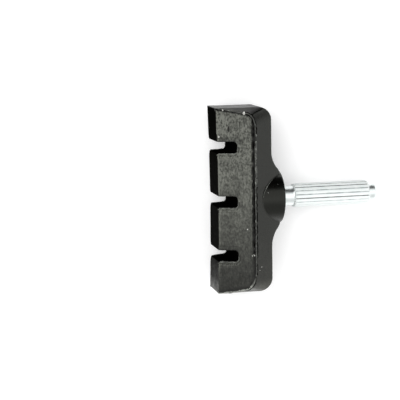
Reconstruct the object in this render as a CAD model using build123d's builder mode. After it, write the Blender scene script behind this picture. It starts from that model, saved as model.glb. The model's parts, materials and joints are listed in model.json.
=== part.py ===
"""Rim brake pad: a slotted rubber block moulded round a steel backing plate and a fluted steel stud.

Heights run from the braking face along the stud. The pad lies on its side, as it comes to rest on
a table: on the widest line of the block and on the end of the stud's fluted length.
"""
from build123d import *

import os
from math import atan2, degrees

# Rubber block
pad_length = 50.0
core_width = 10.0           # braking face, flat back and the upright part of the ends
shoulder_width = 17.8       # widest line of the block
shoulder_height = 9.7
back_height = 15.3
end_inset = 1.8             # how far the ends lean in between the core and the widest line
core_corner_radius = 3.6
shoulder_corner_radius = 3.0
face_hollow = 0.45          # the braking face dips this much at the middle of its length

# Slots across the braking face
slot_count = 3
slot_pitch = 14.6
slot_width = 2.8
slot_depth = 5.3
slot_corner_radius = 0.7

# Boss round the stud
boss_diameter = 14.4
boss_height = 18.6
flare_reach = 5.8           # length of the flare on each side of the boss

# Backing plate
plate_length = 40.0
plate_width = 9.0
plate_thickness = 2.0
plate_height = 10.2
plate_corner_radius = 2.0

# Stud
rivet_diameter = 8.0
rivet_thickness = 1.2
tenon_diameter = 4.6
neck_diameter = 5.4
neck_length = 3.8           # from the boss to the flutes
stud_diameter = 6.5         # over the flutes
flute_count = 18
flute_length = 21.4
flute_width = 0.27
flute_depth = 0.3
flute_chamfer = 0.35        # at both ends of the fluted length
tip_diameter = 5.2
tip_length = 2.3
tip_chamfer = 0.5

# Heights along the stud
plate_back = plate_height + plate_thickness
flute_start = boss_height + neck_length
flute_end = flute_start + flute_length
tip_end = flute_end + tip_length

# The block's back walls slope from the widest line past the flat back and on up the boss
roof_slope = (shoulder_width - core_width) / 2 / (back_height - shoulder_height)
ridge_width = core_width - 2 * roof_slope * (boss_height - back_height)

# At rest the stud dips until its fluted end meets the table
rest_tilt = degrees(atan2((shoulder_width - stud_diameter) / 2, flute_end - flute_chamfer - shoulder_height))

# The origin is on the stud's axis where the flutes reach their full diameter
lying = Plane.XY.rotated((0, rest_tilt, 0))
face_centre = lying.from_local_coords((-(flute_start + flute_chamfer), 0, 0))
mid_plane = Plane(face_centre, x_dir=lying.x_dir, z_dir=lying.z_dir)
section_plane = Plane(face_centre, x_dir=lying.x_dir, z_dir=-lying.y_dir)
face_plane = Plane(face_centre, x_dir=lying.y_dir, z_dir=lying.x_dir)
stud_axis = Axis(face_centre, lying.x_dir)


# Stud: turned in one piece, fluted along the clamped length and riveted over at its inner end
with BuildPart() as stud:
    with BuildSketch(section_plane):
        with BuildLine():
            Polyline(
                (plate_height - rivet_thickness, 0),
                (plate_height - rivet_thickness, rivet_diameter / 2),
                (plate_height, rivet_diameter / 2),
                (plate_height, tenon_diameter / 2),
                (plate_back, tenon_diameter / 2),
                (plate_back, neck_diameter / 2),
                (flute_start, neck_diameter / 2),
                (flute_start, stud_diameter / 2 - flute_chamfer),
                (flute_start + flute_chamfer, stud_diameter / 2),
                (flute_end - flute_chamfer, stud_diameter / 2),
                (flute_end, stud_diameter / 2 - flute_chamfer),
                (flute_end, tip_diameter / 2),
                (tip_end - tip_chamfer, tip_diameter / 2),
                (tip_end, tip_diameter / 2 - tip_chamfer),
                (tip_end, 0),
                close=True,
            )
        make_face()
    revolve(axis=stud_axis)
    # A land, not a flute, is at the bottom, where the stud touches the table
    with BuildSketch(face_plane.offset(flute_start)):
        with PolarLocations(stud_diameter / 2, flute_count, start_angle=90 + 180 / flute_count):
            SlotOverall(2 * flute_depth, flute_width)
    extrude(amount=flute_length, mode=Mode.SUBTRACT)


# Backing plate: flat steel with a hole for the stud's tenon
with BuildPart() as backing_plate:
    with BuildSketch(face_plane.offset(plate_height)):
        RectangleRounded(plate_length, plate_width, plate_corner_radius)
        Circle(tenon_diameter / 2, mode=Mode.SUBTRACT)
    extrude(amount=plate_thickness)


# Rubber block, moulded round the plate and the inner part of the stud
with BuildPart() as rubber_block:
    # Core: the outline seen from the side, with the flare up to the boss
    with BuildSketch(mid_plane):
        with BuildLine():
            Polyline(
                (boss_height, 0),
                (0, 0),
                (0, pad_length / 2),
                (back_height - core_corner_radius, pad_length / 2),
            )
            RadiusArc(
                (back_height - core_corner_radius, pad_length / 2),
                (back_height, pad_length / 2 - core_corner_radius),
                core_corner_radius,
            )
            flare_foot = (back_height, boss_diameter / 2 + flare_reach)
            Line((back_height, pad_length / 2 - core_corner_radius), flare_foot)
            flare = TangentArc(flare_foot, (boss_height, boss_diameter / 2), tangent=(0, -1))
            Line(flare @ 1, (boss_height, 0))
        make_face()
        mirror(about=Plane.XZ)
    extrude(amount=core_width / 2, both=True)

    # Shoulders: the ends and the back lean in from the core to the widest line
    for side in (1, -1):
        for height, length, radius, level in (
            (back_height, pad_length, core_corner_radius, core_width / 2),
            (shoulder_height, pad_length - 2 * end_inset, shoulder_corner_radius, shoulder_width / 2),
        ):
            with BuildSketch(mid_plane.offset(side * level)) as shoulder:
                Rectangle(height, length, align=(Align.MIN, Align.CENTER))
                fillet(shoulder.vertices().group_by(Axis.X)[-1], radius)
        loft(ruled=True)

    # Section across the pad: braking sides below the widest line, sloped back above it
    with BuildSketch(section_plane):
        with BuildLine():
            Polyline(
                (0, -core_width / 2),
                (shoulder_height, -shoulder_width / 2),
                (boss_height, -ridge_width / 2),
                (boss_height, ridge_width / 2),
                (shoulder_height, shoulder_width / 2),
                (0, core_width / 2),
                close=True,
            )
        make_face()
    extrude(amount=pad_length / 2, both=True, mode=Mode.INTERSECT)

    with BuildSketch(face_plane.offset(plate_back)):
        Circle(boss_diameter / 2)
    extrude(amount=boss_height - plate_back)

    # Hollow of the braking face
    with BuildSketch(mid_plane):
        with BuildLine():
            ThreePointArc((0, -pad_length / 2), (face_hollow, 0), (0, pad_length / 2))
            Line((0, pad_length / 2), (0, -pad_length / 2))
        make_face()
    extrude(amount=shoulder_width / 2, both=True, mode=Mode.SUBTRACT)

    # Slots open to the braking face and to both sides
    with BuildSketch(mid_plane) as slots:
        with GridLocations(0, slot_pitch, 1, slot_count):
            Rectangle(2 * slot_depth, slot_width)
        fillet(slots.vertices(), slot_corner_radius)
    extrude(amount=shoulder_width / 2, both=True, mode=Mode.SUBTRACT)

    add(backing_plate.part, mode=Mode.SUBTRACT)
    add(stud.part, mode=Mode.SUBTRACT)


rubber_block.part.label = "rubber_block"
backing_plate.part.label = "backing_plate"
stud.part.label = "stud"

os.makedirs("parts", exist_ok=True)
export_step(rubber_block.part, "parts/rubber_block.step")
export_step(backing_plate.part, "parts/backing_plate.step")
export_step(stud.part, "parts/stud.step")
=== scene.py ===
"""Rim brake pad: a slotted rubber block with bloom and parting flash, on a zinc-plated fluted stud."""

import json
from collections import namedtuple

import bmesh
import bpy
import numpy as np
import openvdb
from mathutils import Euler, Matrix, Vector, noise


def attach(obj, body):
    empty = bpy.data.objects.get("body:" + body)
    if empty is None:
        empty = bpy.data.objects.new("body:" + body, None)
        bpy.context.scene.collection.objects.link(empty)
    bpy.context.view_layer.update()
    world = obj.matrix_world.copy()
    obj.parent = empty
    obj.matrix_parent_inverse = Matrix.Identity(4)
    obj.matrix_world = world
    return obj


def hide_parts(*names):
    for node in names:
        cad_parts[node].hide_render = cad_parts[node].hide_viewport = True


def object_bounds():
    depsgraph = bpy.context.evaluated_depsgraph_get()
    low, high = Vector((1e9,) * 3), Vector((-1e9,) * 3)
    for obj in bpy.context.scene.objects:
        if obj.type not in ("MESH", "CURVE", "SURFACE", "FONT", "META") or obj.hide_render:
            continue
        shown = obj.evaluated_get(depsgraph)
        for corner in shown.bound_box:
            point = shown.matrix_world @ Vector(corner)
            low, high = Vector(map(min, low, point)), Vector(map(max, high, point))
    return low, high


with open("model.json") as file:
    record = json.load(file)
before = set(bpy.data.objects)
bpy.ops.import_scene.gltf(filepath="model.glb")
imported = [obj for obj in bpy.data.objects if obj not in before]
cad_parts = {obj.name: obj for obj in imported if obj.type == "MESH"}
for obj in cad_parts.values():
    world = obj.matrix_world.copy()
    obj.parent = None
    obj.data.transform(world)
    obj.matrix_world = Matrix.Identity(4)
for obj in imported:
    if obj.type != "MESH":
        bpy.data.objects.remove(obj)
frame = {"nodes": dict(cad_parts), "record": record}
cad_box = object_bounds()

MM = 0.001

# Rubber block, in millimetres
HALF_LENGTH = 25.0
CORE = 5.0                  # half width of the braking face and of the flat back
SHOULDER = 8.9              # half width at the widest line
SHOULDER_HEIGHT = 9.7
BACK_HEIGHT = 15.3
ROOF_SLOPE = (BACK_HEIGHT - SHOULDER_HEIGHT) / (SHOULDER - CORE)
END_INSET = 1.8             # how far the ends lean in between the core and the widest line
CORE_CORNER = 3.6
SHOULDER_CORNER = 3.0
FACE_HOLLOW = 0.45
SLOT_PITCH = 14.6
SLOT_WIDTH = 2.8
SLOT_DEPTH = 5.3
SLOT_CORNER = 0.85
SLOT_WEAR = 0.3             # how far the -Y edge of each slot is worn back
BOSS_RADIUS = 7.2
BOSS_HEIGHT = 18.6
FLARE_REACH = 5.8
FLARE_STEP = 0.5            # from the top of the flare up to the edge of the boss
FLARE_BLEND = 0.8           # how softly the flare ends at that step
FLARE_RUNOUT = 1.0          # how far the flare's own solid runs on past its foot
EDGE_ROUND = 0.3
BOSS_ROUND = 0.35
BOSS_FILLET = 0.12
SLOT_ROUND = 0.2
SIDE_WAVE = 0.02            # unevenness of the slotted sides
BACK_WAVE = 0.016           # unevenness of the back and the ends
BLOCK_STEP = 0.21           # spacing of the block's mesh
BLOCK_MARGIN = 0.6          # round the block in the grid that it is meshed from

# Moulding marks on the block
LIP_WIDTH = 1.15            # how far the tooth edges are rolled over
LIP_DROP = 0.42
FACE_LIP = 0.5              # share of that drop at the braking face
ROOF_RISE = 0.86            # how fast a side leaves the sloped back, from the outline inwards
FLASH_CORNER = (2.3, 4.9)   # height and length of the flash's drawn-out corner at the -Y end
GROOVE_INSET = 0.44         # from the line of the flash to the middle of the groove beside it
GROOVE_WIDTH = 0.31
GROOVE_DEPTH = 0.45
GROOVE_LEAST = 0.4          # share of its depth that the groove keeps everywhere
GROOVE_DEEPENS = (-19, 8)   # place along the pad from which it deepens, and over what length
GROOVE_ENDS = (24.6, 2)     # how far from the pad's middle it ends, and over what length
GROOVE_RIPPLE = 0.32
SEAM_INSET = 0.45           # from a slot to the middle of the seam beside its fin
SEAM_WIDTH = 0.2
SEAM_DEPTH = 0.15
LEDGE_DEPTH = 0.08          # of the faint line round a slot
NICK_PLACE = (3.2, 19.4)    # height, and place along the pad
NICK_SIZE = (0.17, 0.8)
NICK_DEPTH = 0.4

# Where the bloom is rubbed off the sides, with painted shade beside the groove and in the cuts, and where it
# is heavier as a painted highlight
RUBBED_SHADE_REACH = 0.8          # inwards from the line of the flash
RUBBED_SHADE_BLEND = 0.45
RUBBED_SHADE_RIPPLE = 0.25
RUBBED_SHADE_FROM = (-23, 4)      # place along the pad from which it is rubbed and shaded, and over what length
RUBBED_SHADE_LEAST = 0.1          # share of the rubbing and shade before that place
CUT_SHADE_DEPTH = 0.3            # depth of a cut that holds no bloom, painted shade down in the cut
EDGE_HIGHLIGHT = 0.9            # extra share along the braking edge, a painted highlight
EDGE_HIGHLIGHT_INSET = 0.2
EDGE_HIGHLIGHT_WIDTH = 0.28

# Stud
NECK_RADIUS = 2.7
NECK_SINK = 2.5             # how far the neck's mesh reaches down into the boss
STUD_RADIUS = 3.25
TIP_RADIUS = 2.6
FLUTE_START = 22.4
FLUTE_END = 43.8
TIP_END = 46.1
FLUTES = 18
FLUTE_WIDTH = 0.27
FLUTE_DEPTH = 0.3
FLUTE_CHAMFER = 0.35
FLUTE_WEAR = 0.03           # how far the edges of the flutes are worn down
# Flutes whose zinc is near black: painted shade, darker than in the other flutes
DARK_FLUTES = (2, 3, 6, 9, 11, 17)
TIP_CHAMFER = 0.5
TIP_CENTRE = 0.02           # radius of the last ring of the mesh
STUD_EASE = 0.06            # how far the stud's turned edges are cut back
STUD_STEP = 0.4             # spacing of the stud's mesh along its length

# Pad coordinates: height from the braking face along the stud, along the pad, across the pad
mount = frame["record"]["mounts"][0]
stud_way = Vector(mount["axis"]).normalized()
pad_way = Vector((0, 1, 0))
PAD_AXES = np.array([stud_way, pad_way, stud_way.cross(pad_way)])
MOUNT_PLACE = np.array(mount["pos_m"])
MOUNT_HEIGHT = FLUTE_START + FLUTE_CHAMFER


def on_table(points):
    """Pad coordinates in millimetres to places in the part's frame in metres, kept inside the part's box."""
    places = (np.asarray(points, float) - (MOUNT_HEIGHT, 0, 0)) @ PAD_AXES * MM + MOUNT_PLACE
    return np.clip(places, cad_box[0], cad_box[1])


# Shape of the block, as distances in millimetres that are negative in the rubber
def smooth_max(a, b, blend):
    overlap = np.maximum(blend - np.abs(a - b), 0)
    return np.maximum(a, b) + overlap * overlap / (4 * blend)


def smooth_min(a, b, blend):
    return -smooth_max(-a, -b, blend)


def smoothstep(part):
    return part * part * (3 - 2 * part)


def ridge(distance, middle, width):
    """A soft ridge of height 1 across a distance."""
    return np.exp(-((distance - middle) / width) ** 2)


def ripple(points, length, seed):
    """Gentle unevenness between about -1 and 1, with waves of about this length."""
    waves = np.random.default_rng(seed)
    total = 0
    for _ in range(6):
        way = waves.normal(size=3)
        way *= 2 * np.pi / (length * waves.uniform(0.7, 1.5) * np.linalg.norm(way))
        phase = waves.uniform(0, 6.28)
        total = total + np.sin(points[0] * way[0] + points[1] * way[1] + points[2] * way[2] + phase)
    return total / 3


def slot_middle(along):
    return SLOT_PITCH * np.clip(np.round(along / SLOT_PITCH), -1, 1)


def slot_gap(height, along):
    """Distance from the nearest slot, negative inside it."""
    deep = np.abs(height) - (SLOT_DEPTH - SLOT_CORNER)
    wide = np.abs(along - slot_middle(along) + SLOT_WEAR / 2) - (SLOT_WIDTH + SLOT_WEAR) / 2 + SLOT_CORNER
    outside = np.hypot(np.maximum(deep, 0), np.maximum(wide, 0))
    return outside + np.minimum(np.maximum(deep, wide), 0) - SLOT_CORNER


def roof_height(across):
    """How high the sloped back is, this far out."""
    return SHOULDER_HEIGHT + (SHOULDER - across) * ROOF_SLOPE


def roof_across(height):
    """How far out the sloped back lies at this height."""
    return SHOULDER - (height - SHOULDER_HEIGHT) / ROOF_SLOPE


def side_across(height):
    """How far out a slotted side lies at this height."""
    return CORE + height * (SHOULDER - CORE) / SHOULDER_HEIGHT


def above_roof(height, across):
    return height - roof_height(np.abs(across))


def lean_share(across):
    """Share of the way out from the core to the widest line, more than 1 past it."""
    return np.maximum((np.abs(across) - CORE) / (SHOULDER - CORE), 0)


def end_gap(height, along, across):
    """Distance from the ends and rounded back corners, which lean in towards the widest line."""
    lean = lean_share(across)
    corner = CORE_CORNER + (SHOULDER_CORNER - CORE_CORNER) * np.minimum(lean, 1)
    high = np.maximum(height - BACK_HEIGHT, above_roof(height, across)) + corner
    long = np.abs(along) - (HALF_LENGTH - END_INSET * lean) + corner
    outside = np.hypot(np.maximum(high, 0), np.maximum(long, 0))
    return outside + np.minimum(np.maximum(high, long), 0) - corner


SIDE_OUT = np.array([-(SHOULDER - CORE), SHOULDER_HEIGHT]) / np.hypot(SHOULDER - CORE, SHOULDER_HEIGHT)
ROOF_OUT = np.array([SHOULDER - CORE, BACK_HEIGHT - SHOULDER_HEIGHT])
ROOF_OUT = ROOF_OUT / np.hypot(*ROOF_OUT)


def side_gap(height, across):
    return SIDE_OUT[0] * height + SIDE_OUT[1] * (np.abs(across) - CORE)


def roof_gap(height, across):
    return ROOF_OUT[0] * (height - SHOULDER_HEIGHT) + ROOF_OUT[1] * (np.abs(across) - SHOULDER)


def face_gap(height, along):
    return FACE_HOLLOW * (1 - (along / HALF_LENGTH) ** 2) - height


def flare_gap(height, along, across):
    """Distance from the concave flare that rises from the flat back to the boss."""
    rise = BOSS_HEIGHT - BACK_HEIGHT
    radius = (rise ** 2 + FLARE_REACH ** 2) / (2 * rise)
    foot = BOSS_RADIUS + FLARE_REACH
    along = np.abs(along)
    curve = radius - np.hypot(height - BACK_HEIGHT - radius, along - foot)
    curve = np.where(along > foot, height - BACK_HEIGHT, np.where(along < BOSS_RADIUS, -BOSS_HEIGHT, curve))
    curve = smooth_max(curve, height - BOSS_HEIGHT + FLARE_STEP, FLARE_BLEND)
    return np.maximum(np.maximum(curve, above_roof(height, across)), along - foot - FLARE_RUNOUT)


def outline_inset(height, along, across):
    """How far a point on a slotted side lies inside that side's outline."""
    return -np.maximum(roof_gap(height, across) / ROOF_RISE, end_gap(height, along, across))


def rim_inset(height, along, across):
    """How far a point on a slotted side lies inside the line of the flash."""
    inset = outline_inset(height, along, across)
    tall, deep = FLASH_CORNER
    lean = np.minimum(lean_share(across), 1)
    high = np.maximum((height - SHOULDER_HEIGHT) / tall + 1, 0)
    long = np.maximum((-along - HALF_LENGTH + END_INSET * lean) / deep + 1, 0)
    reach = np.hypot(high, long)
    slope = np.hypot(high / tall, long / deep)
    corner = (1 - reach) * reach / np.maximum(slope, 1e-9)
    return np.where(reach > 0, np.minimum(inset, corner), inset)


def lip_drop(height, along):
    """How far the tooth edges are rolled over, beside the slots and at the braking face."""
    by_slot = np.clip(1 - slot_gap(height, along) / LIP_WIDTH, 0, 1)
    by_face = np.clip(1 + face_gap(height, along) / LIP_WIDTH, 0, 1)
    return LIP_DROP * (by_slot + FACE_LIP * by_face ** 1.6)


def groove_share(along):
    """Share of its full depth that the groove beside the flash has."""
    deeper = np.clip((along - GROOVE_DEEPENS[0]) / GROOVE_DEEPENS[1], 0, 1)
    by_end = np.clip((GROOVE_ENDS[0] - np.abs(along)) / GROOVE_ENDS[1], GROOVE_LEAST, 1)
    return GROOVE_LEAST + (1 - GROOVE_LEAST) * deeper * by_end


def cut_depth(height, along, across):
    """Depth of the narrow cuts in a side: the groove inside the flash, lines round the slots, and a nick."""
    place = (height, along, across)
    groove = GROOVE_DEPTH * groove_share(along) * (1 + GROOVE_RIPPLE * ripple(place, 2.2, 3))
    groove = groove * ridge(rim_inset(*place), GROOVE_INSET, GROOVE_WIDTH)
    from_slot = slot_gap(height, along)
    seam = SEAM_DEPTH * ridge(from_slot, SEAM_INSET, SEAM_WIDTH) * (along < slot_middle(along))
    ledge = LEDGE_DEPTH * ridge(from_slot, LIP_WIDTH, SEAM_WIDTH)
    nick = NICK_DEPTH * ridge(height, NICK_PLACE[0], NICK_SIZE[0])
    nick = nick * np.exp(-((along - NICK_PLACE[1]) / NICK_SIZE[1]) ** 4)
    return groove + seam + ledge + nick * (across > 0)


def bloom_with_painted_light(height, along, across):
    """How much bloom a side has: none beside the groove and in the cuts, where it is partly rubbed off and
    partly painted shade, and more along the braking edge as a painted highlight.
    """
    place = (height, along, across)
    # Painted shade: the bloom is left off beside the groove, partly as rubbing and partly as the groove's
    # shade.
    inset = rim_inset(*place) + RUBBED_SHADE_RIPPLE * ripple(place, 2.0, 8)
    by_rim = smoothstep(np.clip((RUBBED_SHADE_REACH - inset) / RUBBED_SHADE_BLEND, 0, 1))
    by_rim = by_rim * np.clip((along - RUBBED_SHADE_FROM[0]) / RUBBED_SHADE_FROM[1], RUBBED_SHADE_LEAST, 1)
    rubbed_and_shaded = np.maximum(by_rim, np.clip(cut_depth(*place) / CUT_SHADE_DEPTH, 0, 1))
    # Painted highlight: extra bloom along the braking edge.
    by_edge = ridge(face_gap(height, along), -EDGE_HIGHLIGHT_INSET, EDGE_HIGHLIGHT_WIDTH)
    return (1 - rubbed_and_shaded) * (1 + EDGE_HIGHLIGHT * by_edge)


def block_gap(height, along, across):
    """Distance from the moulded block's surface."""
    place = (height, along, across)
    side = side_gap(height, across) + lip_drop(height, along) + cut_depth(*place)
    side = side + SIDE_WAVE * ripple(place, 2.5, 5)
    back = np.minimum(end_gap(*place), flare_gap(*place)) + BACK_WAVE * (1 + ripple(place, 5.5, 7))
    body = smooth_max(side, smooth_max(back, face_gap(height, along), EDGE_ROUND), EDGE_ROUND)

    boss = smooth_max(np.hypot(along, across) - BOSS_RADIUS, height - BOSS_HEIGHT, BOSS_ROUND)
    body = smooth_min(body, np.maximum(boss, SHOULDER_HEIGHT - height), BOSS_FILLET)
    return smooth_max(body, -slot_gap(height, along), SLOT_ROUND)


# Shader helpers
def node(tree, kind, inputs=None, **settings):
    made = tree.nodes.new("ShaderNode" + kind)
    for name, value in settings.items():
        setattr(made, name, value)
    for name, value in (inputs or {}).items():
        made.inputs[name].default_value = value
    return made


def new_group(name, inputs, outputs):
    tree = bpy.data.node_groups.new(name, "ShaderNodeTree")
    for label, kind, value in inputs:
        socket = tree.interface.new_socket(label, in_out="INPUT", socket_type="NodeSocket" + kind)
        if value is not None:
            socket.default_value = value
    for label, kind in outputs:
        tree.interface.new_socket(label, in_out="OUTPUT", socket_type="NodeSocket" + kind)
    return tree, tree.nodes.new("NodeGroupInput"), tree.nodes.new("NodeGroupOutput")


def place_group(tree, group, inputs):
    made = tree.nodes.new("ShaderNodeGroup")
    made.node_tree = group
    for name, value in inputs.items():
        made.inputs[name].default_value = value
    return made


def new_material(name):
    material = bpy.data.materials.new(name)
    material.use_nodes = True
    tree = material.node_tree
    tree.nodes.clear()
    shader = node(tree, "BsdfPrincipled")
    output = node(tree, "OutputMaterial")
    tree.links.new(shader.outputs["BSDF"], output.inputs["Surface"])
    return material, tree, shader


def ramp(tree, source, stops):
    made = node(tree, "ValToRGB")
    points = made.color_ramp.elements
    while len(points) < len(stops):
        points.new(0.5)
    for point, (place, value) in zip(points, stops):
        point.position = place
        point.color = (value, value, value, 1)
    tree.links.new(source, made.inputs["Fac"])
    return made.outputs["Color"]


def remap(tree, source, from_low, from_high, to_low, to_high, kind="LINEAR"):
    limits = {"From Min": from_low, "From Max": from_high, "To Min": to_low, "To Max": to_high}
    made = node(tree, "MapRange", limits, interpolation_type=kind)
    tree.links.new(source, made.inputs["Value"])
    return made.outputs["Result"]


def spread(tree, source, low, high):
    """Values of a noise texture, most of which lie between 0.3 and 0.7, spread from low to high."""
    return remap(tree, source, 0.3, 0.7, low, high)


def calc(tree, operation, a, b):
    made = node(tree, "Math", operation=operation)
    for socket, value in zip(made.inputs, (a, b)):
        if isinstance(value, (int, float)):
            socket.default_value = value
        else:
            tree.links.new(value, socket)
    return made.outputs["Value"]


def mix_colour(tree, factor, dark, light):
    made = node(tree, "Mix", data_type="RGBA")
    made.inputs["A"].default_value = (*dark, 1)
    made.inputs["B"].default_value = (*light, 1)
    tree.links.new(factor, made.inputs["Factor"])
    return made.outputs["Result"]


def places(tree):
    """Surface places in millimetres."""
    coordinates = node(tree, "TexCoord")
    scaled = node(tree, "VectorMath", operation="SCALE")
    scaled.inputs["Scale"].default_value = 1 / MM
    tree.links.new(coordinates.outputs["Object"], scaled.inputs["Vector"])
    return scaled.outputs["Vector"]


def stretch(tree, place, scale):
    made = node(tree, "Mapping")
    made.inputs["Scale"].default_value = scale
    tree.links.new(place, made.inputs["Vector"])
    return made.outputs["Vector"]


def add_noise(tree, place, inputs):
    made = node(tree, "TexNoise", inputs)
    tree.links.new(place, made.inputs["Vector"])
    return made


def axis_part(tree, source, axis):
    made = node(tree, "SeparateXYZ")
    tree.links.new(source, made.inputs["Vector"])
    return made.outputs[axis]


def lengthwise(tree, source):
    """The part of a vector that runs along the pad."""
    return axis_part(tree, source, "Y")


def make_rubber_grain():
    """Pitted skin of moulded rubber: fine grain over broader unevenness."""
    tree, given, result = new_group(
        "rubber_grain",
        [("Place", "Vector", None), ("Grain Size", "Float", 0.3), ("Pitting", "Float", 0.5)],
        [("Height", "Float"), ("Mottle", "Float")],
    )
    place = given.outputs["Place"]
    scale = calc(tree, "DIVIDE", 1.0, given.outputs["Grain Size"])
    fine = add_noise(tree, place, {"Detail": 5.0, "Roughness": 0.65})
    tree.links.new(scale, fine.inputs["Scale"])
    broad = add_noise(tree, place, {"Scale": 0.45, "Detail": 4.0, "Roughness": 0.55})
    pits = node(tree, "TexVoronoi", {"Randomness": 1.0})
    tree.links.new(place, pits.inputs["Vector"])
    tree.links.new(scale, pits.inputs["Scale"])
    pit_floor = remap(tree, pits.outputs["Distance"], 0.0, 0.45, -1.0, 0.0)
    pit_depth = calc(tree, "MULTIPLY", pit_floor, given.outputs["Pitting"])
    tree.links.new(calc(tree, "ADD", fine.outputs["Fac"], pit_depth), result.inputs["Height"])
    tree.links.new(broad.outputs["Fac"], result.inputs["Mottle"])
    return tree


def make_bloom():
    """Pale bloom and dust that settles in specks and soft patches."""
    tree, given, result = new_group(
        "settled_bloom",
        [("Place", "Vector", None), ("Speck Size", "Float", 0.4), ("Speckle", "Float", 0.7),
         ("Cover", "Float", 0.5)],
        [("Mask", "Float")],
    )
    place = given.outputs["Place"]
    specks = add_noise(tree, stretch(tree, place, (1.0, 0.6, 1.0)), {"Detail": 4.0, "Roughness": 0.6})
    tree.links.new(calc(tree, "DIVIDE", 1.0, given.outputs["Speck Size"]), specks.inputs["Scale"])
    patches = add_noise(tree, place, {"Scale": 0.28, "Detail": 4.0, "Roughness": 0.6, "Distortion": 1.2})
    speckle = remap(tree, specks.outputs["Fac"], 0.34, 0.68, -1.0, 1.0)
    speckle = calc(tree, "MULTIPLY", speckle, given.outputs["Speckle"])
    speckle = calc(tree, "ADD", speckle, 1.0)
    patchy = spread(tree, patches.outputs["Fac"], 0.62, 1.38)
    cover = calc(tree, "MULTIPLY", given.outputs["Cover"], patchy)
    tree.links.new(calc(tree, "MULTIPLY", cover, speckle), result.inputs["Mask"])
    return tree


def make_metal_marks():
    """Fine turning lines and stains of plated or plain steel."""
    tree, given, result = new_group(
        "metal_marks",
        [("Place", "Vector", None), ("Line Spacing", "Float", 0.12)],
        [("Height", "Float"), ("Stain", "Float")],
    )
    place = given.outputs["Place"]
    lines = add_noise(tree, stretch(tree, place, (1.0, 0.08, 0.08)), {"Detail": 3.0, "Roughness": 0.6})
    tree.links.new(calc(tree, "DIVIDE", 1.0, given.outputs["Line Spacing"]), lines.inputs["Scale"])
    stain = add_noise(tree, place, {"Scale": 0.6, "Detail": 5.0, "Roughness": 0.6})
    tree.links.new(lines.outputs["Fac"], result.inputs["Height"])
    tree.links.new(stain.outputs["Fac"], result.inputs["Stain"])
    return tree


RUBBER_GRAIN = make_rubber_grain()
BLOOM = make_bloom()
METAL_MARKS = make_metal_marks()


def add_bump(tree, shader, height, depth):
    bump = node(tree, "Bump", {"Strength": 1.0, "Distance": depth * MM})
    tree.links.new(height, bump.inputs["Height"])
    tree.links.new(bump.outputs["Normal"], shader.inputs["Normal"])


def add_grain(tree, place, shader, size, pitting, depth):
    """Roughens the shader's normal, and gives the broad unevenness."""
    grain = place_group(tree, RUBBER_GRAIN, {"Grain Size": size, "Pitting": pitting})
    tree.links.new(place, grain.inputs["Place"])
    add_bump(tree, shader, grain.outputs["Height"], depth)
    return grain.outputs["Mottle"]


def add_bloom(tree, place, shader, size, cover, dark, light, speckle=0.7):
    """Colours the shader from bare rubber to full bloom, under an even or a changing cover."""
    bloom = place_group(tree, BLOOM, {"Speck Size": size, "Speckle": speckle})
    tree.links.new(place, bloom.inputs["Place"])
    if isinstance(cover, float):
        bloom.inputs["Cover"].default_value = cover
    else:
        tree.links.new(cover, bloom.inputs["Cover"])
    tree.links.new(mix_colour(tree, bloom.outputs["Mask"], dark, light), shader.inputs["Base Color"])
    return bloom


def add_gloss(tree, shader, mottle, smooth, rough, specular):
    """Roughness that follows the broad unevenness, with an even specular level."""
    tree.links.new(spread(tree, mottle, smooth, rough), shader.inputs["Roughness"])
    shader.inputs["Specular IOR Level"].default_value = specular


def make_side_rubber():
    """Slotted sides: rough skin under a greenish-grey bloom, heavier at one end; edges that face that end are
    lighter as painted light, and the speckle grows stronger there, partly as painted glints.
    """
    material, tree, shader = new_material("bloomed_side_rubber")
    place = places(tree)
    along = lengthwise(tree, place)
    mottle = add_grain(tree, place, shader, size=0.3, pitting=0.5, depth=0.07)
    drawn_out = stretch(tree, place, (1.0, 0.14, 1.0))
    streaks = add_noise(tree, drawn_out, {"Scale": 2.2, "Detail": 3.0, "Roughness": 0.6})
    cover = remap(tree, along, -26.0, 8.0, 0.125, 0.72, "SMOOTHSTEP")
    cover = calc(tree, "MULTIPLY", cover, spread(tree, streaks.outputs["Fac"], 0.75, 1.25))
    # Painted light: faces that turn towards +Y get more bloom and faces that turn towards -Y get less,
    # standing in for light from the +Y end.
    facing = lengthwise(tree, node(tree, "NewGeometry").outputs["Normal"])
    cover = calc(tree, "MULTIPLY", cover, remap(tree, facing, -0.5, 0.3, 0.3, 1.2))
    cover = calc(tree, "ADD", cover, remap(tree, facing, 0.08, 0.5, 0.0, 0.3))
    # This attribute holds painted shade beside the groove and in the cuts, and a painted highlight along the
    # braking edge.
    share = node(tree, "Attribute", attribute_name="bloom_with_painted_light")
    cover = calc(tree, "MULTIPLY", cover, share.outputs["Fac"])
    bloom = add_bloom(tree, place, shader, size=0.42, cover=cover,
                      dark=(0.006, 0.006, 0.005), light=(0.162, 0.167, 0.144))
    # Speckle grows stronger towards +Y, partly as painted glints of the light from that end.
    speckle = remap(tree, along, -6.0, 20.0, 0.52, 0.85, "SMOOTHSTEP")
    tree.links.new(speckle, bloom.inputs["Speckle"])
    add_gloss(tree, shader, mottle, smooth=0.62, rough=0.8, specular=0.3)
    return material


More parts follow.
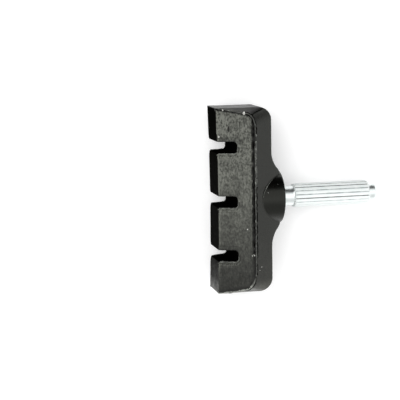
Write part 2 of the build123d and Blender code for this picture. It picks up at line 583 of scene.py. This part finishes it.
def make_back_rubber():
    """Back and boss: satin black skin with a trace of dust, thick in a band at the -Y end, and lighter
    towards that end as painted light from it.
    """
    material, tree, shader = new_material("moulded_back_rubber")
    place = places(tree)
    along = lengthwise(tree, place)
    mottle = add_grain(tree, place, shader, size=0.6, pitting=0.15, depth=0.012)
    # Painted light: the cover rises towards the -Y end, standing in for light from that end; the band at the
    # very end is dust.
    cover = remap(tree, along, -25.0, -4.0, 0.09, 0.01, "SMOOTHSTEP")
    cover = calc(tree, "ADD", cover, remap(tree, along, -25.0, -21.5, 0.4, 0.0))
    bloom = add_bloom(tree, place, shader, size=0.3, cover=cover,
                      dark=(0.0008, 0.0008, 0.0006), light=(0.12, 0.12, 0.10))
    tree.links.new(remap(tree, along, -23.0, -20.0, 0.4, 1.5), bloom.inputs["Speckle"])
    add_gloss(tree, shader, mottle, smooth=0.15, rough=0.24, specular=0.34)
    shader.inputs["Specular Tint"].default_value = (0.97, 1.0, 0.9, 1)
    return material


def make_end_rubber():
    """Sloped and upright ends: the same skin scuffed duller, lighter towards the -Y end as painted light from
    that end, and lighter on a patch at the other end.
    """
    material, tree, shader = new_material("scuffed_end_rubber")
    place = places(tree)
    along = lengthwise(tree, place)
    mottle = add_grain(tree, place, shader, size=0.5, pitting=0.2, depth=0.03)
    # Painted light: the pale cover rises towards the -Y end, standing in for light from that end.
    cover = remap(tree, along, -25.0, 0.0, 0.5, 0.03)
    patch = remap(tree, axis_part(tree, place, "X"), -14.5, -11.5, 1.0, 0.0)
    patch = calc(tree, "MULTIPLY", remap(tree, along, 21.0, 23.5, 0.0, 0.13), patch)
    cover = calc(tree, "ADD", cover, patch)
    add_bloom(tree, place, shader, size=0.4, cover=cover,
              dark=(0.002, 0.002, 0.0016), light=(0.26, 0.26, 0.24), speckle=0.3)
    add_gloss(tree, shader, mottle, smooth=0.32, rough=0.46, specular=0.2)
    return material


def make_face_rubber():
    """Braking face: ground black rubber, kept near black partly as painted shade, and lighter towards the -Y
    end as painted light from that end.
    """
    material, tree, shader = new_material("ground_face_rubber")
    place = places(tree)
    along = lengthwise(tree, place)
    mottle = add_grain(tree, place, shader, size=0.3, pitting=0.3, depth=0.03)
    # Painted light: the pale cover rises towards the -Y end, standing in for light from that end; elsewhere
    # it stays thin, as painted shade.
    cover = remap(tree, along, -24.0, -13.0, 0.23, 0.022, "SMOOTHSTEP")
    cover = calc(tree, "MULTIPLY", cover, remap(tree, along, -10.0, 20.0, 1.0, 0.15))
    cover = calc(tree, "ADD", cover, remap(tree, along, -25.0, -21.5, 0.5, 0.0))
    add_bloom(tree, place, shader, size=0.45, cover=cover,
              dark=(0.0015, 0.0015, 0.0012), light=(0.3, 0.3, 0.29), speckle=0.35)
    add_gloss(tree, shader, mottle, smooth=0.75, rough=0.95, specular=0.0)
    return material


def make_slot_rubber():
    """Slots and narrow cuts: bare black rubber that light hardly reaches."""
    material, tree, shader = new_material("bare_slot_rubber")
    place = places(tree)
    mottle = add_grain(tree, place, shader, size=0.3, pitting=0.3, depth=0.02)
    add_bloom(tree, place, shader, size=0.6, cover=0.004,
              dark=(0.001, 0.001, 0.0008), light=(0.1, 0.1, 0.09))
    add_gloss(tree, shader, mottle, smooth=0.8, rough=0.95, specular=0.0)
    return material


def make_flash_rubber(name, least, most):
    """Flash: thin rubber, pale with dust in spots and towards one end."""
    material, tree, shader = new_material(name)
    place = places(tree)
    add_grain(tree, place, shader, size=0.2, pitting=0.4, depth=0.03)
    spots = add_noise(tree, place, {"Scale": 1.3, "Detail": 3.0, "Roughness": 0.6})
    cover = remap(tree, spots.outputs["Fac"], 0.5, 0.7, least, most)
    cover = calc(tree, "ADD", cover, remap(tree, lengthwise(tree, place), -24.5, -19.5, 0.8, 0.0))
    add_bloom(tree, place, shader, size=0.55, cover=cover,
              dark=(0.022, 0.022, 0.019), light=(0.3, 0.31, 0.28))
    shader.inputs["Roughness"].default_value = 0.6
    return material


def make_pale_crumb():
    """Crumbs coated white with dust."""
    material, tree, shader = new_material("pale_crumb")
    place = places(tree)
    add_grain(tree, place, shader, size=0.15, pitting=0.4, depth=0.02)
    add_bloom(tree, place, shader, size=0.3, cover=0.8, dark=(0.1, 0.1, 0.09), light=(0.7, 0.7, 0.66))
    shader.inputs["Roughness"].default_value = 0.55
    return material


def add_metal_marks(tree, shader, spacing, depth, dull, bright):
    """Turning lines and a stained colour for the shader. Gives the stain."""
    marks = place_group(tree, METAL_MARKS, {"Line Spacing": spacing})
    tree.links.new(places(tree), marks.inputs["Place"])
    add_bump(tree, shader, marks.outputs["Height"], depth)
    tint = remap(tree, marks.outputs["Stain"], 0.35, 0.7, 0.0, 1.0)
    tree.links.new(mix_colour(tree, tint, dull, bright), shader.inputs["Base Color"])
    return marks.outputs["Stain"]


def make_zinc(name, dull, bright, smooth, rough, metal):
    """Zinc plate with a faint blue-green cast."""
    material, tree, shader = new_material(name)
    stain = add_metal_marks(tree, shader, spacing=0.15, depth=0.006, dull=dull, bright=bright)
    tree.links.new(spread(tree, stain, smooth, rough), shader.inputs["Roughness"])
    shader.inputs["Metallic"].default_value = metal
    return material


def make_plain_steel():
    """Mild steel of the backing plate, inside the rubber."""
    material, tree, shader = new_material("plain_plate_steel")
    add_metal_marks(tree, shader, spacing=0.2, depth=0.01, dull=(0.36, 0.35, 0.34), bright=(0.5, 0.5, 0.51))
    shader.inputs["Roughness"].default_value = 0.45
    shader.inputs["Metallic"].default_value = 1.0
    return material


# Pieces
def mesh_piece(name, points, faces, materials):
    """A smooth-shaded piece, from pad coordinates, that lies with the pad."""
    mesh = bpy.data.meshes.new(name)
    mesh.from_pydata(on_table(points).tolist(), [], [tuple(face) for face in faces])
    mesh.update()
    mesh.polygons.foreach_set("use_smooth", np.ones(len(mesh.polygons), bool))
    for material in materials:
        mesh.materials.append(material)
    piece = bpy.data.objects.new(name, mesh)
    bpy.context.scene.collection.objects.link(piece)
    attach(piece, "root")
    return piece


UPPER_SIDE = np.array([SIDE_OUT[0], 0, SIDE_OUT[1]])
UPPER_ROOF = np.array([ROOF_OUT[0], 0, ROOF_OUT[1]])
BACK, SIDE, FACE, CUT, END = range(5)
END_BAND = 0.25             # how far in from the ends their finish reaches


def block_finish(points, quads):
    """Which finish each face of the block has, from its place and the way it faces."""
    corners = points[quads]
    height, along, across = corners.mean(axis=1).T
    facing = np.cross(corners[:, 2] - corners[:, 0], corners[:, 3] - corners[:, 1])
    facing /= np.linalg.norm(facing, axis=1, keepdims=True) + 1e-12
    facing[:, 2] *= np.sign(across)
    inset = rim_inset(height, along, across)

    near_end = np.abs(along) > HALF_LENGTH - END_BAND - END_INSET * np.minimum(lean_share(across), 1)
    on_face = (facing[:, 0] < -0.6) & (face_gap(height, along) > -0.4)
    on_side = (facing @ UPPER_SIDE > 0.8) & (height < SHOULDER_HEIGHT + 0.1) & (inset > -0.15)
    in_cut = (cut_depth(height, along, across) > 0.1) & (side_gap(height, across) > -0.9) & (inset > 0.2)
    in_slot = (slot_gap(height, along) < 0.15) & (height < SLOT_DEPTH + 0.3)

    finish = np.full(len(quads), BACK)
    finish[near_end] = END
    finish[in_slot] = CUT
    finish[on_face] = FACE
    finish[on_side | in_cut] = SIDE
    return finish.tolist()


def block_mesh():
    """Points and quads of the moulded block, from its distance field on a grid."""
    low = np.array([0, -HALF_LENGTH, -SHOULDER]) - BLOCK_MARGIN
    high = np.array([BOSS_HEIGHT, HALF_LENGTH, SHOULDER]) + BLOCK_MARGIN
    lines = [np.arange(start, stop, BLOCK_STEP) for start, stop in zip(low, high)]
    height, along, across = np.meshgrid(*lines, indexing="ij", sparse=True)
    band = 3 * BLOCK_STEP
    gaps = np.clip(block_gap(height, along, across), -band, band).astype(np.float32)
    grid = openvdb.FloatGrid(band)
    grid.copyFromArray(gaps)
    points, _, quads = grid.convertToPolygons(isovalue=0.0, adaptivity=0.0)
    return low + points.astype(float) * BLOCK_STEP, quads


def make_moulded_block(bare):
    """The whole rubber moulding, with bare rubber in its slots."""
    points, quads = block_mesh()
    finishes = {
        BACK: make_back_rubber(),
        SIDE: make_side_rubber(),
        FACE: make_face_rubber(),
        CUT: bare,
        END: make_end_rubber(),
    }
    piece = mesh_piece("moulded_block", points, quads, finishes.values())
    piece.data.polygons.foreach_set("material_index", block_finish(points, quads))
    # Bloom share with painted shade beside the groove and in the cuts, and a painted highlight along the
    # braking edge.
    share = piece.data.attributes.new("bloom_with_painted_light", "FLOAT", "POINT")
    share.data.foreach_set("value", bloom_with_painted_light(*points.T).astype(np.float32))
    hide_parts("rubber_block")


def wander(count, step, length, seed):
    """Smooth random values between 0 and 1 along a line, with swings of about this length."""
    knots = np.random.default_rng(seed).uniform(0, 1, int(count * step / length) + 4)
    place = np.arange(count) * step / length
    first = place.astype(int)
    part = smoothstep(place - first)
    return knots[first] * (1 - part) + knots[first + 1] * part


def evenly(line, step):
    """The same line with evenly spaced points."""
    run = np.concatenate([[0], np.cumsum(np.linalg.norm(np.diff(line, axis=0), axis=1))])
    even = np.arange(0, run[-1], step)
    return np.stack([np.interp(even, run, line[:, axis]) for axis in range(3)], axis=1)


OUTLINE_TURNS = 4000
OUTLINE_REACH = 40.0        # further from the middle of the braking face than any corner
OUTLINE_HALVINGS = 40


def side_outline():
    """Line of the flash on the upper side, from one end of the braking face round the back to the other."""
    turn = np.linspace(-np.pi / 2, np.pi / 2, OUTLINE_TURNS)
    low, high = np.zeros_like(turn), np.full_like(turn, OUTLINE_REACH)
    for _ in range(OUTLINE_HALVINGS):
        reach = (low + high) / 2
        height, along = np.cos(turn) * reach, np.sin(turn) * reach
        inside = rim_inset(height, along, side_across(height)) > 0
        low, high = np.where(inside, reach, low), np.where(inside, high, reach)
    return np.stack([height, along, side_across(height)], axis=1)


LIP_START = 0.6             # height at which the fin on a slot's edge starts
LIP_STOP = 0.2              # how far short of the slot's middle it ends


def slot_edge(middle):
    """The -Y edge of a slot on the upper side, from the braking face round the slot's inner corner."""
    turn = np.linspace(-np.pi / 2, 0, 12)
    floor = middle - SLOT_WIDTH / 2 - SLOT_WEAR
    height = np.concatenate([[LIP_START], SLOT_DEPTH - SLOT_CORNER * (1 - np.cos(turn)), [SLOT_DEPTH]])
    along = np.concatenate([[floor], floor + SLOT_CORNER * (1 + np.sin(turn)), [middle - LIP_STOP]])
    return np.stack([height, along, side_across(height)], axis=1)


def tube_faces(rings, around):
    """Quads of a closed tube of rings, with a face over each end."""
    ring, spot = np.meshgrid(np.arange(rings - 1), np.arange(around), indexing="ij")
    after = (spot + 1) % around
    quads = np.stack([ring * around + spot, ring * around + after,
                      (ring + 1) * around + after, (ring + 1) * around + spot], axis=-1).reshape(-1, 4)
    ends = [tuple(range(around))[::-1], tuple(range((rings - 1) * around, rings * around))]
    return [tuple(quad) for quad in quads] + ends


TORN_FROM = (21.5, 1.5)     # how far from the pad's middle flash gets torn, and over what length
TORN_A_LITTLE = 0.3


def torn_at_ends(line):
    return np.clip((np.abs(line[:, 1]) - TORN_FROM[0]) / TORN_FROM[1], 0, 1)


def torn_evenly(line):
    return np.full(len(line), TORN_A_LITTLE)


# Fins of flash. A section runs from the foot on a fin's inner side over its crest to the foot on its outer
# side, in shares of half the width aside and of the height. Crest and root are heights above the side.
Fin = namedtuple("Fin", "section width crest root torn")
PARTING_FIN = Fin(
    section=np.array([
        (-3.7, -0.3), (-3.3, 0.6), (-1.1, 0.62), (-0.7, 0.9), (0, 1),
        (0.7, 0.92), (1.2, 0.75), (2.6, -0.05), (1.8, -0.6),
    ]),
    width=0.3, crest=-0.02, root=-0.55, torn=torn_at_ends,
)
LIP_FIN = Fin(
    section=np.array([
        (-2.1, -0.1), (-1.6, 0.22), (-1.1, 0.55), (-0.7, 0.9), (0, 1),
        (0.7, 0.92), (1.2, 0.75), (2.2, 0.35), (1.8, -0.3),
    ]),
    width=0.16, crest=-0.08, root=-0.7, torn=torn_evenly,
)
INNER_FOOT, OUTER_FOOT = (0, 1), 6  # places in a section
FIN_STEP = 0.11             # spacing of the rings
STAND_HEIGHT = SLOT_DEPTH + 0.5  # above which a fin may stand up from the side
STAND_REACH = 0.4           # distance inside the side's outline at which it stands right up
STAND_CREST = 0.17          # how much its crest and its root rise then
STAND_ROOT = 0.45
STAND_FOOT = 0.6            # share by which its inner foot draws in then
# Bare rubber on a fin's feet is painted shade: in the groove for the inner foot, and beside the flash for the
# outer foot.
DUSTY, SHADED_BARE = 0, 1
SHADED_BARE_FROM = -19             # place along the pad from which the inner foot is bare, painted shade in the groove
SHADED_BARE_WHOLE = (-22, 12)      # place from which it is less and less broken up, and over what length
DUSTY_OUTSIDE = (4, 18)     # places along the pad between which the outer foot is dusty
SHADED_BARE_HEIGHT = 7             # height above which it is bare elsewhere, painted shade beside the flash


def fin_wear(count, torn, seed):
    """How far a fin's crest drops, how far it sways, and its share of the full half width, at each ring."""
    drop = 0.05 * (1 + torn) * wander(count, FIN_STEP, 0.9, seed) ** 2
    drop += 0.05 * (1 + 1.5 * torn) * wander(count, FIN_STEP, 0.35, seed + 1) ** 2
    drop += 0.12 * np.clip((wander(count, FIN_STEP, 2.2, seed + 2) - 0.74) / 0.1, 0, 1)
    sway = (0.05 + 0.1 * torn) * (wander(count, FIN_STEP, 1.1, seed + 3) - 0.5)
    sway += 0.04 * (wander(count, FIN_STEP, 0.3, seed + 4) - 0.5)
    return drop, sway, 0.75 + 0.6 * wander(count, FIN_STEP, 0.6, seed + 5)


def fin_rings(line, fin, seed):
    """Rings of a thin torn fin along a line on the upper side.

    Where the line leaves the side's outline, the whole fin stands up from the side.
    """
    line = evenly(line, FIN_STEP)
    drop, sway, share = fin_wear(len(line), fin.torn(line), seed)
    aside_way = np.cross(np.gradient(line, axis=0), UPPER_SIDE)
    aside_way /= np.linalg.norm(aside_way, axis=1, keepdims=True)

    stand = np.clip(outline_inset(*line.T) / STAND_REACH, 0, 1) * (line[:, 0] > STAND_HEIGHT)
    crest = fin.crest + STAND_CREST * stand - drop
    root = fin.root + STAND_ROOT * stand
    aside = (fin.width / 2 * share)[:, None] * fin.section[:, 0] + sway[:, None]
    aside[:, INNER_FOOT] *= (1 - STAND_FOOT * stand)[:, None]
    lift = root[:, None] + (crest - root)[:, None] * fin.section[:, 1]
    return line[:, None] + aside[..., None] * aside_way[:, None] + lift[..., None] * UPPER_SIDE


def fin_finish(rings):
    """Which faces of a fin are bare, as painted shade: the foot in the groove, and the outer foot towards
    both ends.
    """
    height, along = rings[:-1, 0, :2].T
    finish = np.full((len(along), rings.shape[1]), DUSTY)
    whole = wander(len(along), FIN_STEP, 0.8, 90) < np.clip((along - SHADED_BARE_WHOLE[0]) / SHADED_BARE_WHOLE[1], 0, 1)
    finish[np.ix_((along > SHADED_BARE_FROM) & whole, INNER_FOOT)] = SHADED_BARE
    outside = (along < DUSTY_OUTSIDE[0]) | (along > DUSTY_OUTSIDE[1])
    finish[outside & (height > SHADED_BARE_HEIGHT), OUTER_FOOT] = SHADED_BARE
    return finish.ravel().tolist() + [DUSTY, DUSTY]


def make_fins(name, sets_of_rings, materials):
    points, faces, finish = [], [], []
    for rings in sets_of_rings:
        faces += [tuple(corner + len(points) for corner in face) for face in tube_faces(*rings.shape[:2])]
        points += rings.reshape(-1, 3).tolist()
        finish += fin_finish(rings)
    piece = mesh_piece(name, points, faces, materials)
    piece.data.polygons.foreach_set("material_index", finish)


def make_flash(bare):
    """Torn fins of rubber where the mould parted, round each slotted side and on its slots' edges."""
    parting = [make_flash_rubber("dusty_flash_rubber", 0.07, 0.6), bare]
    lips = [make_flash_rubber("dusty_lip_rubber", 0.3, 0.9), bare]
    for name, facing, seed in (("upper", 1, 40), ("lower", -1, 60)):
        outline = fin_rings(side_outline(), PARTING_FIN, seed)
        edges = [
            fin_rings(slot_edge(middle), LIP_FIN, seed + 10 + number)
            for number, middle in enumerate((-SLOT_PITCH, 0, SLOT_PITCH))
        ]
        make_fins(f"{name}_parting_flash", [outline * (1, 1, facing)], parting)
        make_fins(f"{name}_slot_flash", [rings * (1, 1, facing) for rings in edges], lips)


BEAD_TURNS = (6, 48)        # degrees round the boss from the middle of the upper side
BEAD_RADIUS = 0.15
BEAD_AROUND = 6
BEAD_RINGS = 80
BEAD_STEP = 0.07            # spacing of the rings
BEAD_OFFSET = 0.06          # how far its middle stands off the back and off the boss
BEAD_TAPER = 0.3            # part of a half wave, in radians, that is left off at each end


def make_boss_bead():
    """Fine bead of flash where the boss meets the sloped back, on the side towards one end."""
    turn = np.radians(np.linspace(*BEAD_TURNS, BEAD_RINGS))
    out = np.stack([np.zeros_like(turn), np.sin(turn), np.cos(turn)], axis=1)
    line = BOSS_RADIUS * out
    line[:, 0] = roof_height(line[:, 2])
    taper = np.sin(np.linspace(BEAD_TAPER, np.pi - BEAD_TAPER, BEAD_RINGS))
    radius = BEAD_RADIUS * (0.4 + wander(BEAD_RINGS, BEAD_STEP, 0.4, 95)) * taper
    angle = np.arange(BEAD_AROUND) * 2 * np.pi / BEAD_AROUND
    offset = np.cos(angle)[:, None] * UPPER_ROOF + np.sin(angle)[:, None] * out[:, None]
    rings = line[:, None] + BEAD_OFFSET * (UPPER_ROOF + out)[:, None] + radius[:, None, None] * offset
    dusty = make_flash_rubber("dusty_bead_rubber", 0.4, 0.9)
    faces = tube_faces(BEAD_RINGS, BEAD_AROUND)
    mesh_piece("boss_flash_bead", rings.reshape(-1, 3), faces, [dusty])


# Pale crumbs stuck to the skin: height, place along the pad, radius, how drawn out, and which skin
CRUMBS = (
    (7.05, 23.62, 0.33, 1.2, "side"),
    (1.8, 24.5, 0.15, 1.6, "side"),
    (0.75, 17.5, 0.2, 1.4, "side"),
    (7.58, -7.3, 0.17, 1.0, "side"),
    (8.75, -14.45, 0.12, 1.3, "side"),
    (9.05, -14.2, 0.1, 1.0, "side"),
    (9.3, -14.35, 0.1, 1.5, "side"),
    (11.5, -17.8, 0.09, 1.5, "roof"),
    (10.9, -18.6, 0.08, 1.8, "roof"),
    (16.7, 4.12, 0.055, 1.2, "boss"),
    (13.72, 2.17, 0.06, 1.0, "boss"),
)
CRUMB_SINK = 0.15           # share of a crumb's radius that its middle lies under the skin
CRUMB_LUMPS = 0.45          # share of its radius by which it swells and shrinks
CRUMB_FLATNESS = 0.4        # share of its height that it loses


def crumb_seat(height, along, skin):
    """How far out a crumb lies, and the way the skin faces there."""
    if skin == "side":
        return side_across(height), Vector(UPPER_SIDE)
    if skin == "roof":
        return roof_across(height), Vector(UPPER_ROOF)
    across = np.sqrt(BOSS_RADIUS ** 2 - along ** 2)
    return across, Vector((0, along, across)) / BOSS_RADIUS


def make_crumbs():
    """All the crumbs as one piece of lumpy, flattened balls."""
    shape = bmesh.new()
    for number, (height, along, radius, drawn, skin) in enumerate(CRUMBS):
        across, out = crumb_seat(height, along, skin)
        seat = Vector((height, along, across)) - out * radius * CRUMB_SINK
        for vert in bmesh.ops.create_icosphere(shape, subdivisions=3, radius=radius)["verts"]:
            swell = noise.noise(vert.co / radius * 1.4 + Vector((number * 7.3, 0, 0)))
            lump = vert.co * (1 + CRUMB_LUMPS * swell)
            lump.y *= drawn
            vert.co = seat + lump - out * lump.dot(out) * CRUMB_FLATNESS
    shape.verts.index_update()
    points = [tuple(vert.co) for vert in shape.verts]
    faces = [tuple(vert.index for vert in face.verts) for face in shape.faces]
    shape.free()
    mesh_piece("rubber_crumbs", points, faces, [make_pale_crumb()])


# Places across the pitch of one flute, from its middle, closest at the flute's walls
ACROSS_FLUTE = np.array([-0.5, -0.36, -0.26, -0.2, -0.16, -0.13, -0.1, -0.05, 0,
                         0.05, 0.1, 0.13, 0.16, 0.2, 0.26, 0.36])
TURNED, LAND, FLUTE, DARK_FLUTE = range(4)


def eased(corners, ease):
    """The same open line with each inner corner cut back a little."""
    line = [corners[0]]
    for before, corner, after in zip(corners, corners[1:], corners[2:]):
        for other in (before, after):
            way = np.subtract(other, corner)
            line.append(np.add(corner, way * min(0.4, ease / np.hypot(*way))))
    return np.array(line + [corners[-1]])


def stud_profile():
    """Heights and radii of the turned stud, from inside the boss to its tip, with eased edges."""
    corners = eased([
        (BOSS_HEIGHT - NECK_SINK, NECK_RADIUS),
        (FLUTE_START, NECK_RADIUS),
        (FLUTE_START, STUD_RADIUS - FLUTE_CHAMFER),
        (FLUTE_START + FLUTE_CHAMFER, STUD_RADIUS),
        (FLUTE_END - FLUTE_CHAMFER, STUD_RADIUS),
        (FLUTE_END, STUD_RADIUS - FLUTE_CHAMFER),
        (FLUTE_END, TIP_RADIUS),
        (TIP_END - TIP_CHAMFER, TIP_RADIUS),
        (TIP_END, TIP_RADIUS - TIP_CHAMFER),
        (TIP_END, TIP_CENTRE),
    ], STUD_EASE)
    stations = [corners[:1]]
    for start, end in zip(corners, corners[1:]):
        parts = int(np.ceil(np.hypot(*(end - start)) / STUD_STEP))
        stations.append(start + (end - start) * np.linspace(0, 1, parts + 1)[1:, None])
    return np.concatenate(stations).T


def flute_floor():
    """Turns round the stud, and the greatest radius that the flutes leave at each."""
    pitch = 2 * np.pi / FLUTES
    turn = ((np.arange(FLUTES)[:, None] + 0.5 + ACROSS_FLUTE) * pitch).ravel()
    from_flute = np.tile(ACROSS_FLUTE, FLUTES) * pitch * STUD_RADIUS
    flute = FLUTE_DEPTH * np.exp(-(from_flute / (FLUTE_WIDTH / 2)) ** 4)
    worn_edge = FLUTE_WEAR * ridge(from_flute, 0, FLUTE_WIDTH)
    return turn, STUD_RADIUS - np.minimum(flute + worn_edge, FLUTE_DEPTH)


def stud_finish(height, radius, reach):
    """Which finish each face of the stud has. Its two end faces come last."""
    fluted = (height > FLUTE_START - 0.05) & (height < FLUTE_END + 0.05)
    in_flute = np.where(np.isin(np.arange(FLUTES), DARK_FLUTES), DARK_FLUTE, FLUTE).repeat(len(ACROSS_FLUTE))
    spot = np.where(reach < radius[:, None] - 0.12, in_flute, LAND)
    spot = np.where(fluted[:, None], spot, TURNED)
    return np.minimum(spot[:-1], spot[1:]).ravel().tolist() + [TURNED, TURNED]


def make_fluted_stud():
    """Stud from inside the boss to its tip: turned neck, fluted length and stepped tip."""
    height, radius = stud_profile()
    turn, floor = flute_floor()
    reach = np.minimum(radius[:, None], floor)
    rise = np.broadcast_to(height[:, None], reach.shape)
    points = np.stack([rise, reach * np.sin(turn), reach * np.cos(turn)], axis=-1).reshape(-1, 3)
    finishes = {
        TURNED: make_zinc("turned_zinc", (0.84, 0.9, 0.89), (0.93, 0.97, 0.96), 0.28, 0.36, 1.0),
        LAND: make_zinc("land_zinc", (0.87, 0.93, 0.92), (0.95, 0.98, 0.97), 0.45, 0.55, 0.12),
        # The darker zinc in the flutes is painted shade down in them, near black in some.
        FLUTE: make_zinc("flute_zinc", (0.4, 0.44, 0.44), (0.8, 0.83, 0.83), 0.5, 0.6, 0.5),
        DARK_FLUTE: make_zinc("dark_flute_zinc", (0.05, 0.05, 0.05), (0.35, 0.36, 0.36), 0.5, 0.6, 0.5),
    }
    piece = mesh_piece("fluted_stud", points, tube_faces(*reach.shape), finishes.values())
    piece.data.polygons.foreach_set("material_index", stud_finish(height, radius, reach))
    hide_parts("stud")


bare_rubber = make_slot_rubber()
make_moulded_block(bare_rubber)
make_flash(bare_rubber)
make_boss_bead()
make_crumbs()
make_fluted_stud()
plate = frame["nodes"]["backing_plate"]
plate.data.materials.clear()
plate.data.materials.append(make_plain_steel())

# Table, light and camera, in metres
TABLE_REACH = 1.5
TABLE_GLOW = 0.32           # added where the camera and reflections see the table
CARD_HALF_WIDTH = 0.02
CARD_PLACE = 0.055          # along the pad, from its middle
CARD_RISE = 0.04
DARK_TO_LIGHT = (0.25, -0.75, 0.6)  # way across the surround
# Place that way, from 0 to 1, and how bright the surround is there
SURROUND_LEVELS = ((0.0, 0.01), (0.48, 0.02), (0.59, 0.8), (0.76, 0.85), (0.86, 1.0), (0.97, 0.52))


def flat_quad(name, corners, material):
    mesh = bpy.data.meshes.new(name)
    mesh.from_pydata(corners, [], [(0, 1, 2, 3)])
    mesh.materials.append(material)
    quad = bpy.data.objects.new(name, mesh)
    bpy.context.scene.collection.objects.link(quad)
    return quad


def make_table_paint():
    """Matt white that looks brighter than the light it throws back on the pad."""
    material = bpy.data.materials.new("pale_table")
    material.use_nodes = True
    tree = material.node_tree
    tree.nodes.clear()
    matt = node(tree, "BsdfDiffuse", {"Color": (0.82, 0.82, 0.82, 1)})
    glow = node(tree, "Emission")
    rays = node(tree, "LightPath")
    seen = calc(tree, "MAXIMUM", rays.outputs["Is Camera Ray"], rays.outputs["Is Glossy Ray"])
    seen = calc(tree, "MAXIMUM", seen, rays.outputs["Is Transmission Ray"])
    tree.links.new(calc(tree, "MULTIPLY", seen, TABLE_GLOW), glow.inputs["Strength"])
    both = node(tree, "AddShader")
    output = node(tree, "OutputMaterial")
    tree.links.new(matt.outputs["BSDF"], both.inputs[0])
    tree.links.new(glow.outputs["Emission"], both.inputs[1])
    tree.links.new(both.outputs["Shader"], output.inputs["Surface"])
    return material


def make_table():
    """Pale table that the camera sees as white where no shadow falls."""
    height = cad_box[0][2]
    outline = ((-1, -1), (1, -1), (1, 1), (-1, 1))
    corners = [(x * TABLE_REACH, y * TABLE_REACH, height) for x, y in outline]
    table = flat_quad("pale_table", corners, make_table_paint())


def make_dark_card():
    """Black card stood on the table past one end of the pad, which only reflections show."""
    foot = cad_box[0][2]
    outline = ((-1, 0), (1, 0), (1, 1), (-1, 1))
    corners = [(x * CARD_HALF_WIDTH, CARD_PLACE, foot + z * CARD_RISE) for x, z in outline]
    material, _, shader = new_material("dark_card")
    shader.inputs["Base Color"].default_value = (0.005, 0.005, 0.005, 1)
    shader.inputs["Roughness"].default_value = 1.0
    shader.inputs["Specular IOR Level"].default_value = 0.0
    card = flat_quad("dark_card", corners, material)
    card.visible_camera = card.visible_diffuse = card.visible_shadow = False


def make_surround():
    """White surround, open and dark low down at the far end of the pad."""
    world = bpy.data.worlds.new("studio")
    bpy.context.scene.world = world
    world.use_nodes = True
    tree = world.node_tree
    tree.nodes.clear()
    way = node(tree, "TexCoord")
    tilt = node(tree, "VectorMath", operation="DOT_PRODUCT")
    tilt.inputs[1].default_value = DARK_TO_LIGHT
    tree.links.new(way.outputs["Generated"], tilt.inputs[0])
    level = ramp(tree, remap(tree, tilt.outputs["Value"], -1.0, 1.0, 0.0, 1.0), SURROUND_LEVELS)
    background = node(tree, "Background", {"Strength": 1.4})
    output = node(tree, "OutputWorld")
    tree.links.new(level, background.inputs["Color"])
    tree.links.new(background.outputs["Background"], output.inputs["Surface"])


def make_lamp():
    """Soft lamp at the upper left."""
    lamp = bpy.data.lights.new("upper_left_softbox", "AREA")
    lamp.shape = "DISK"
    lamp.size = 0.4
    lamp.energy = 1.1
    holder = bpy.data.objects.new("upper_left_softbox", lamp)
    holder.location = (-0.22, 0.24, 0.4)
    holder.rotation_euler = Vector(holder.location).to_track_quat("Z", "Y").to_euler()
    bpy.context.scene.collection.objects.link(holder)


def make_camera():
    """Camera almost straight above the pad, a little past its +Y end."""
    view = bpy.data.cameras.new("camera")
    view.lens = 119.7
    view.sensor_width = 36
    view.clip_start = 0.01
    holder = bpy.data.objects.new("camera", view)
    holder.location = Vector((-44.998, 53.529, 358.145)) * MM
    holder.rotation_euler = Euler(np.radians((-8.5326, -3.2487, -0.9825)))
    bpy.context.scene.collection.objects.link(holder)
    bpy.context.scene.camera = holder
    bpy.context.scene.view_settings.view_transform = "Standard"


make_table()
make_surround()
make_lamp()
make_dark_card()
make_camera()
